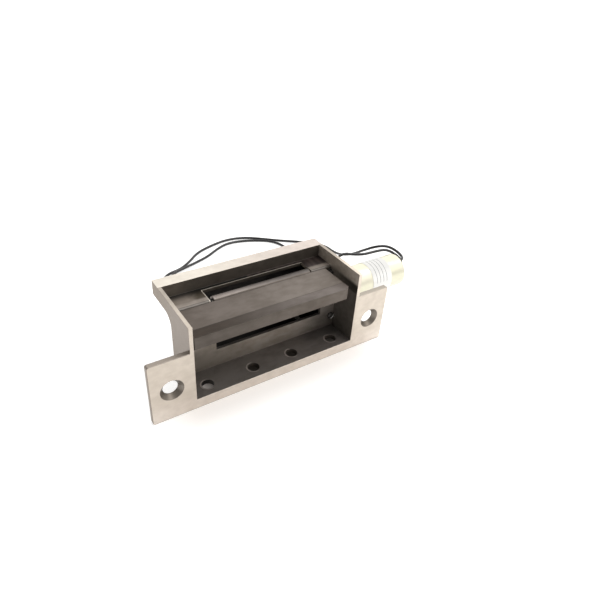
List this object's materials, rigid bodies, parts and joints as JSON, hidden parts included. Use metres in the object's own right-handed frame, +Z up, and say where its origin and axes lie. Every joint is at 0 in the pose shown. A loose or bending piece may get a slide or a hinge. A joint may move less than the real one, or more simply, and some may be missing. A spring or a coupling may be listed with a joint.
{
  "type": "electric door strike",
  "caption": "Strike frame with screw ears, a pivoting keeper under a top rim, and a side solenoid with wire leads that works a lock lever behind the frame.",
  "frame": {"origin": "middle of the two ear screw holes, on the faceplate's front face", "axes": "+X along the faceplate towards the solenoid, +Y from the front face into the door frame, +Z up the faceplate towards the rim"},
  "size_m": [0.1682, 0.1319, 0.0445],
  "materials": {
    "satin_steel": "satin stainless",
    "keeper_steel": "satin, darker than the frame",
    "pin_steel": "plain",
    "spring_steel": "drawn wire",
    "bracket_steel": "black oxide sheet",
    "lever_steel": "plain",
    "yellow_zinc": "pale yellow zinc plating",
    "bobbin_plastic": "moulded",
    "coil_copper": "enamelled copper wire",
    "black_rubber": "matte",
    "label_white": "blank paper label",
    "lead_black": "wire insulation",
    "lead_copper": "bare copper strands"
  },
  "bodies": {
    "frame": {"frame": "satin_steel", "hinge_pin": "pin_steel", "keeper_spring": "spring_steel", "mechanism_bracket": "bracket_steel", "lever_pin": "pin_steel", "lever_clip_front": "pin_steel", "lever_clip_back": "pin_steel", "solenoid_front_cap": "yellow_zinc", "solenoid_nut": "yellow_zinc", "solenoid_can": "yellow_zinc", "bobbin": "bobbin_plastic", "coil": "coil_copper", "fixed_core": "lever_steel", "solenoid_end_cap": "yellow_zinc", "lead_grommet": "black_rubber", "label": "label_white", "stop_screw": "pin_steel", "bracket_screw_left": "pin_steel", "bracket_screw_right": "pin_steel", "plunger_spring": "spring_steel", "upper_lead": "lead_black", "upper_lead_end": "lead_copper", "lower_lead": "lead_black", "lower_lead_end": "lead_copper"},
    "keeper": {"keeper": "keeper_steel"},
    "lever": {"lock_lever": "lever_steel"},
    "plunger": {"plunger": "lever_steel", "plunger_pin": "pin_steel"}
  },
  "joints": [
    {"name": "keeper_pivot", "type": "hinge", "parent": "frame", "child": "keeper", "pos_m": [0, 0.024, 0.01928], "axis": [-1, 0, 0], "range_deg": [0, 75], "stiffness_Nm_per_rad": 0.02, "springref_deg": -28.65, "deforming": ["keeper_spring"]},
    {"name": "plunger_slide", "type": "slide", "parent": "frame", "child": "plunger", "axis": [1, 0, 0], "range_m": [0, 0.003], "stiffness_N_per_m": 150, "springref_m": -0.004, "deforming": ["plunger_spring"]},
    {"name": "lever_pivot", "type": "hinge", "parent": "frame", "child": "lever", "pos_m": [0.026, 0.0308, -0.007], "axis": [0, 1, 0], "range_deg": [0, 23.3]}
  ],
  "couplings": [
    {"joint": "lever_pivot", "follows": "plunger_slide", "rad_per_m": 134.97}
  ]
}
